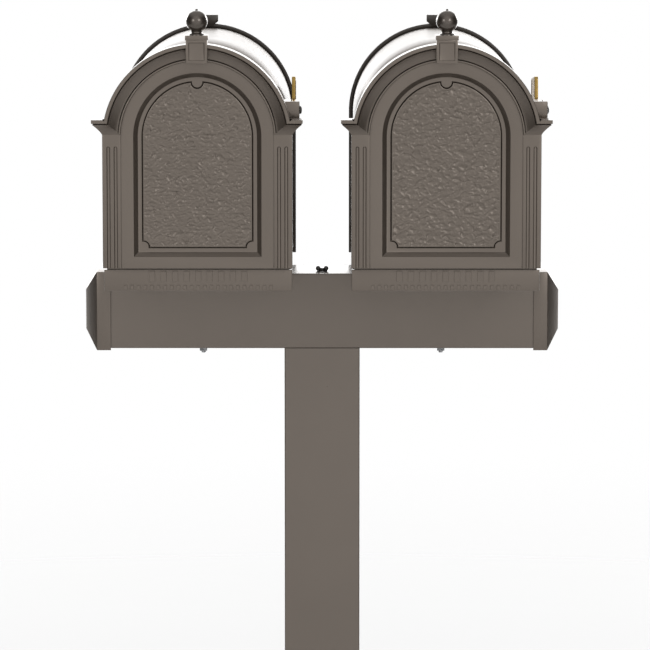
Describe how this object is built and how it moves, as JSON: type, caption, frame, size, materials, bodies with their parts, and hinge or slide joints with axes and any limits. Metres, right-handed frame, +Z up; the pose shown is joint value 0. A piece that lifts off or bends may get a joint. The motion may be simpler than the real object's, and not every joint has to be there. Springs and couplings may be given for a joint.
{
  "type": "twin curbside mailbox unit",
  "caption": "Arched curbside mailboxes side by side on a square crossarm and post, each with a drop-down front door and a swing-up signal flag.",
  "frame": {"origin": "on the ground, at the middle of the ground plate's underside, on the post's axis", "axes": "+X to the right seen from the doors' side, +Y to the back away from the doors, +Z up along the post"},
  "size_m": [0.6388, 0.5412, 1.4345],
  "materials": {
    "tube_paint": "dark bronze powder coat, semi-gloss, on the tubes and caps",
    "casting_paint": "dark bronze powder coat on castings, fine orange peel",
    "shell_paint": "dark bronze powder coat, glossy, on sheet",
    "panel_paint": "dark bronze powder coat over a crinkled cast surface",
    "brass_tone": "polished brass tone",
    "zinc": "zinc plated, fine brushed",
    "galvanised": "galvanised sheet, matt",
    "pan_sheet": "mill finish aluminium sheet",
    "dark_fastener": "dark bronze coated fasteners",
    "rubber_seal": "black foam rubber",
    "ferrite": "dark magnet block in a plastic case"
  },
  "bodies": {
    "stand": {"post": "tube_paint", "ground_plate": "casting_paint", "ground_screws": "dark_fastener", "crossarm": "tube_paint", "post_insert": "galvanised", "insert_screws": "dark_fastener", "clamp_rod": "zinc", "rod_washer": "zinc", "wing_nut": "dark_fastener", "left_end_cap": "casting_paint", "right_end_cap": "casting_paint", "cap_screws": "dark_fastener", "left_shell": "shell_paint", "left_floor_pan": "pan_sheet", "left_shell_screws": "dark_fastener", "left_saddle": "galvanised", "left_saddle_bolts": "zinc", "left_saddle_washers": "zinc", "left_saddle_nuts": "zinc", "left_front_frame": "casting_paint", "left_door_seal": "rubber_seal", "left_magnet": "ferrite", "left_rear_cover": "casting_paint", "left_rear_screws": "dark_fastener", "left_hinge_pins": "zinc", "left_flag_bracket": "casting_paint", "left_bracket_screws": "zinc", "left_flag_bolt": "dark_fastener", "right_shell": "shell_paint", "right_floor_pan": "pan_sheet", "right_shell_screws": "dark_fastener", "right_saddle": "galvanised", "right_saddle_bolts": "zinc", "right_saddle_washers": "zinc", "right_saddle_nuts": "zinc", "right_front_frame": "casting_paint", "right_door_seal": "rubber_seal", "right_magnet": "ferrite", "right_rear_cover": "casting_paint", "right_rear_screws": "dark_fastener", "right_hinge_pins": "zinc", "right_flag_bracket": "casting_paint", "right_bracket_screws": "zinc", "right_flag_bolt": "dark_fastener"},
    "left_door": {"left_door": "casting_paint", "left_door_panel": "panel_paint", "left_panel_screws": "zinc", "left_knob": "casting_paint", "left_strike_plate": "galvanised"},
    "right_door": {"right_door": "casting_paint", "right_door_panel": "panel_paint", "right_panel_screws": "zinc", "right_knob": "casting_paint", "right_strike_plate": "galvanised"},
    "left_flag": {"left_flag": "brass_tone", "left_flag_washer": "zinc"},
    "right_flag": {"right_flag": "brass_tone", "right_flag_washer": "zinc"}
  },
  "joints": [
    {"name": "left_door_hinge", "type": "hinge", "parent": "stand", "child": "left_door", "pos_m": [-0.1606, -0.253, 1.103], "axis": [1, 0, 0], "range_deg": [0, 95]},
    {"name": "left_flag_pivot", "type": "hinge", "parent": "stand", "child": "left_flag", "pos_m": [-0.0375, -0.213, 1.3005], "axis": [1, 0, 0], "range_deg": [0, 90]},
    {"name": "right_door_hinge", "type": "hinge", "parent": "stand", "child": "right_door", "pos_m": [0.1606, -0.253, 1.103], "axis": [1, 0, 0], "range_deg": [0, 95]},
    {"name": "right_flag_pivot", "type": "hinge", "parent": "stand", "child": "right_flag", "pos_m": [0.2837, -0.213, 1.3005], "axis": [1, 0, 0], "range_deg": [0, 90]}
  ]
}
